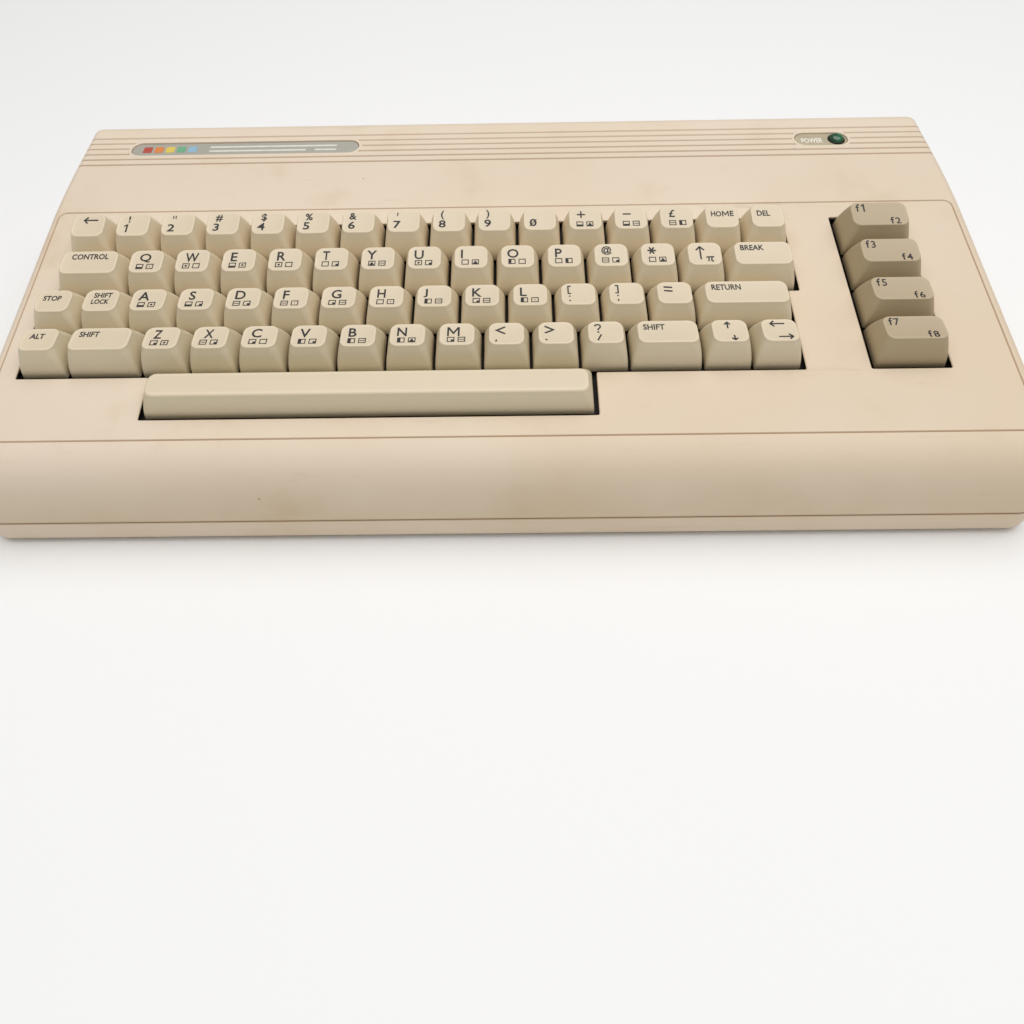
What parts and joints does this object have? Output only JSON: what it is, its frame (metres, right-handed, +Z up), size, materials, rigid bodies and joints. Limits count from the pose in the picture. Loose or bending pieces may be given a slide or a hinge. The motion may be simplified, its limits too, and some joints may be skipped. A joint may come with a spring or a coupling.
{
  "type": "vintage home computer",
  "caption": "Wedge-shaped keyboard computer in two moulded shells, with pressing keys, a sprung space bar, a rocker switch and sockets at the rear and right side.",
  "frame": {"origin": "centre of the bounding box in plan, on the surface that the rubber feet stand on", "axes": "+X to the typist's right, the longest side; +Y to the rear, where the sockets are; +Z up"},
  "size_m": [0.404, 0.216, 0.0798],
  "materials": {
    "case": "fine spark-eroded texture, slightly yellowed",
    "keycaps": "satin, polished by use",
    "function_keys": "satin",
    "feet": "matt black rubber",
    "screws": "zinc-plated steel",
    "name_plate": "satin silver foil on plastic",
    "power_plate": "satin",
    "lamp": "unlit green lens",
    "keyboard_frame": "black moulding",
    "keyboard_board": "phenolic board",
    "main_board": "solder-masked board",
    "sockets": "black moulding",
    "bare_metal": "tinned steel",
    "switch": "black",
    "wire": "spring steel"
  },
  "bodies": {
    "case": {"top_case": "case", "bottom_case": "case", "foot_front_left": "feet", "foot_front_right": "feet", "foot_rear_left": "feet", "foot_rear_right": "feet", "case_screw_left": "screws", "case_screw_middle": "screws", "case_screw_right": "screws", "name_plate": "name_plate", "power_plate": "power_plate", "power_led": "lamp", "keyboard_frame": "keyboard_frame", "keyboard_circuit_board": "keyboard_board", "main_circuit_board": "main_board", "serial_socket": "sockets", "audio_video_socket": "sockets", "power_socket": "sockets", "video_modulator_box": "bare_metal", "aerial_jack": "bare_metal", "cartridge_connector": "sockets", "joystick_port_1": "bare_metal", "joystick_port_2": "bare_metal", "power_switch_body": "switch"},
    "key_left_arrow": {"key_left_arrow": "keycaps"},
    "keys_1_2_3": {"keys_1_2_3": "keycaps"},
    "keys_4_5_6": {"keys_4_5_6": "keycaps"},
    "keys_7_8_9": {"keys_7_8_9": "keycaps"},
    "keys_0_plus": {"keys_0_plus": "keycaps"},
    "keys_minus_pound": {"keys_minus_pound": "keycaps"},
    "key_home": {"key_home": "keycaps"},
    "key_delete": {"key_delete": "keycaps"},
    "key_control": {"key_control": "keycaps"},
    "keys_q_w_e": {"keys_q_w_e": "keycaps"},
    "keys_r_t_y": {"keys_r_t_y": "keycaps"},
    "keys_u_i_o": {"keys_u_i_o": "keycaps"},
    "keys_p_at_star_up": {"keys_p_at_star_up": "keycaps"},
    "key_restore": {"key_restore": "keycaps"},
    "key_run_stop": {"key_run_stop": "keycaps"},
    "key_shift_lock": {"key_shift_lock": "keycaps"},
    "keys_a_s_d": {"keys_a_s_d": "keycaps"},
    "keys_f_g_h": {"keys_f_g_h": "keycaps"},
    "keys_j_k_l": {"keys_j_k_l": "keycaps"},
    "keys_colon_semicolon_equal": {"keys_colon_semicolon_equal": "keycaps"},
    "key_return": {"key_return": "keycaps"},
    "key_mode": {"key_mode": "keycaps"},
    "key_shift_left": {"key_shift_left": "keycaps"},
    "keys_z_x_c": {"keys_z_x_c": "keycaps"},
    "keys_v_b_n": {"keys_v_b_n": "keycaps"},
    "keys_m_comma_dot_slash": {"keys_m_comma_dot_slash": "keycaps"},
    "key_shift_right": {"key_shift_right": "keycaps"},
    "key_cursor_up_down": {"key_cursor_up_down": "keycaps"},
    "key_cursor_left_right": {"key_cursor_left_right": "keycaps"},
    "key_f1": {"key_f1": "function_keys"},
    "key_f3": {"key_f3": "function_keys"},
    "key_f5": {"key_f5": "function_keys"},
    "key_f7": {"key_f7": "function_keys"},
    "space_bar": {"space_bar": "keycaps"},
    "space_bar_wire": {"space_bar_wire": "wire"},
    "power_switch_rocker": {"power_switch_rocker": "switch"}
  },
  "joints": [
    {"name": "key_left_arrow_press", "type": "slide", "parent": "case", "child": "key_left_arrow", "axis": [0, 0.2079, -0.9781], "range_m": [0, 0.0038], "stiffness_N_per_m": 150, "springref_m": -0.004},
    {"name": "keys_1_2_3_press", "type": "slide", "parent": "case", "child": "keys_1_2_3", "axis": [0, 0.2079, -0.9781], "range_m": [0, 0.0038], "stiffness_N_per_m": 150, "springref_m": -0.004},
    {"name": "keys_4_5_6_press", "type": "slide", "parent": "case", "child": "keys_4_5_6", "axis": [0, 0.2079, -0.9781], "range_m": [0, 0.0038], "stiffness_N_per_m": 150, "springref_m": -0.004},
    {"name": "keys_7_8_9_press", "type": "slide", "parent": "case", "child": "keys_7_8_9", "axis": [0, 0.2079, -0.9781], "range_m": [0, 0.0038], "stiffness_N_per_m": 150, "springref_m": -0.004},
    {"name": "keys_0_plus_press", "type": "slide", "parent": "case", "child": "keys_0_plus", "axis": [0, 0.2079, -0.9781], "range_m": [0, 0.0038], "stiffness_N_per_m": 150, "springref_m": -0.004},
    {"name": "keys_minus_pound_press", "type": "slide", "parent": "case", "child": "keys_minus_pound", "axis": [0, 0.2079, -0.9781], "range_m": [0, 0.0038], "stiffness_N_per_m": 150, "springref_m": -0.004},
    {"name": "key_home_press", "type": "slide", "parent": "case", "child": "key_home", "axis": [0, 0.2079, -0.9781], "range_m": [0, 0.0038], "stiffness_N_per_m": 150, "springref_m": -0.004},
    {"name": "key_delete_press", "type": "slide", "parent": "case", "child": "key_delete", "axis": [0, 0.2079, -0.9781], "range_m": [0, 0.0038], "stiffness_N_per_m": 150, "springref_m": -0.004},
    {"name": "key_control_press", "type": "slide", "parent": "case", "child": "key_control", "axis": [0, 0.2079, -0.9781], "range_m": [0, 0.0038], "stiffness_N_per_m": 150, "springref_m": -0.004},
    {"name": "keys_q_w_e_press", "type": "slide", "parent": "case", "child": "keys_q_w_e", "axis": [0, 0.2079, -0.9781], "range_m": [0, 0.0038], "stiffness_N_per_m": 150, "springref_m": -0.004},
    {"name": "keys_r_t_y_press", "type": "slide", "parent": "case", "child": "keys_r_t_y", "axis": [0, 0.2079, -0.9781], "range_m": [0, 0.0038], "stiffness_N_per_m": 150, "springref_m": -0.004},
    {"name": "keys_u_i_o_press", "type": "slide", "parent": "case", "child": "keys_u_i_o", "axis": [0, 0.2079, -0.9781], "range_m": [0, 0.0038], "stiffness_N_per_m": 150, "springref_m": -0.004},
    {"name": "keys_p_at_star_up_press", "type": "slide", "parent": "case", "child": "keys_p_at_star_up", "axis": [0, 0.2079, -0.9781], "range_m": [0, 0.0038], "stiffness_N_per_m": 150, "springref_m": -0.004},
    {"name": "key_restore_press", "type": "slide", "parent": "case", "child": "key_restore", "axis": [0, 0.2079, -0.9781], "range_m": [0, 0.0038], "stiffness_N_per_m": 150, "springref_m": -0.004},
    {"name": "key_run_stop_press", "type": "slide", "parent": "case", "child": "key_run_stop", "axis": [0, 0.2079, -0.9781], "range_m": [0, 0.0038], "stiffness_N_per_m": 150, "springref_m": -0.004},
    {"name": "key_shift_lock_press", "type": "slide", "parent": "case", "child": "key_shift_lock", "axis": [0, 0.2079, -0.9781], "range_m": [0, 0.0038], "stiffness_N_per_m": 150, "springref_m": -0.004},
    {"name": "keys_a_s_d_press", "type": "slide", "parent": "case", "child": "keys_a_s_d", "axis": [0, 0.2079, -0.9781], "range_m": [0, 0.0038], "stiffness_N_per_m": 150, "springref_m": -0.004},
    {"name": "keys_f_g_h_press", "type": "slide", "parent": "case", "child": "keys_f_g_h", "axis": [0, 0.2079, -0.9781], "range_m": [0, 0.0038], "stiffness_N_per_m": 150, "springref_m": -0.004},
    {"name": "keys_j_k_l_press", "type": "slide", "parent": "case", "child": "keys_j_k_l", "axis": [0, 0.2079, -0.9781], "range_m": [0, 0.0038], "stiffness_N_per_m": 150, "springref_m": -0.004},
    {"name": "keys_colon_semicolon_equal_press", "type": "slide", "parent": "case", "child": "keys_colon_semicolon_equal", "axis": [0, 0.2079, -0.9781], "range_m": [0, 0.0038], "stiffness_N_per_m": 150, "springref_m": -0.004},
    {"name": "key_return_press", "type": "slide", "parent": "case", "child": "key_return", "axis": [0, 0.2079, -0.9781], "range_m": [0, 0.0038], "stiffness_N_per_m": 150, "springref_m": -0.004},
    {"name": "key_mode_press", "type": "slide", "parent": "case", "child": "key_mode", "axis": [0, 0.2079, -0.9781], "range_m": [0, 0.0038], "stiffness_N_per_m": 150, "springref_m": -0.004},
    {"name": "key_shift_left_press", "type": "slide", "parent": "case", "child": "key_shift_left", "axis": [0, 0.2079, -0.9781], "range_m": [0, 0.0038], "stiffness_N_per_m": 150, "springref_m": -0.004},
    {"name": "keys_z_x_c_press", "type": "slide", "parent": "case", "child": "keys_z_x_c", "axis": [0, 0.2079, -0.9781], "range_m": [0, 0.0038], "stiffness_N_per_m": 150, "springref_m": -0.004},
    {"name": "keys_v_b_n_press", "type": "slide", "parent": "case", "child": "keys_v_b_n", "axis": [0, 0.2079, -0.9781], "range_m": [0, 0.0038], "stiffness_N_per_m": 150, "springref_m": -0.004},
    {"name": "keys_m_comma_dot_slash_press", "type": "slide", "parent": "case", "child": "keys_m_comma_dot_slash", "axis": [0, 0.2079, -0.9781], "range_m": [0, 0.0038], "stiffness_N_per_m": 150, "springref_m": -0.004},
    {"name": "key_shift_right_press", "type": "slide", "parent": "case", "child": "key_shift_right", "axis": [0, 0.2079, -0.9781], "range_m": [0, 0.0038], "stiffness_N_per_m": 150, "springref_m": -0.004},
    {"name": "key_cursor_up_down_press", "type": "slide", "parent": "case", "child": "key_cursor_up_down", "axis": [0, 0.2079, -0.9781], "range_m": [0, 0.0038], "stiffness_N_per_m": 150, "springref_m": -0.004},
    {"name": "key_cursor_left_right_press", "type": "slide", "parent": "case", "child": "key_cursor_left_right", "axis": [0, 0.2079, -0.9781], "range_m": [0, 0.0038], "stiffness_N_per_m": 150, "springref_m": -0.004},
    {"name": "key_f1_press", "type": "slide", "parent": "case", "child": "key_f1", "axis": [0, 0.2079, -0.9781], "range_m": [0, 0.0038], "stiffness_N_per_m": 150, "springref_m": -0.004},
    {"name": "key_f3_press", "type": "slide", "parent": "case", "child": "key_f3", "axis": [0, 0.2079, -0.9781], "range_m": [0, 0.0038], "stiffness_N_per_m": 150, "springref_m": -0.004},
    {"name": "key_f5_press", "type": "slide", "parent": "case", "child": "key_f5", "axis": [0, 0.2079, -0.9781], "range_m": [0, 0.0038], "stiffness_N_per_m": 150, "springref_m": -0.004},
    {"name": "key_f7_press", "type": "slide", "parent": "case", "child": "key_f7", "axis": [0, 0.2079, -0.9781], "range_m": [0, 0.0038], "stiffness_N_per_m": 150, "springref_m": -0.004},
    {"name": "space_bar_press", "type": "slide", "parent": "case", "child": "space_bar", "axis": [0, 0.2079, -0.9781], "range_m": [0, 0.0038], "stiffness_N_per_m": 150, "springref_m": -0.004},
    {"name": "space_bar_wire_turn", "type": "hinge", "parent": "case", "child": "space_bar_wire", "pos_m": [-0.05111, -0.07249, 0.04799], "axis": [1, 0, 0], "range_deg": [0, 28.4]},
    {"name": "power_switch_rock", "type": "hinge", "parent": "case", "child": "power_switch_rocker", "pos_m": [0.1964, 0.016, 0.0265], "axis": [0, 0, 1], "range_deg": [0, 20]}
  ],
  "couplings": [
    {"joint": "space_bar_wire_turn", "follows": "space_bar_press", "rad_per_m": 128.9}
  ]
}
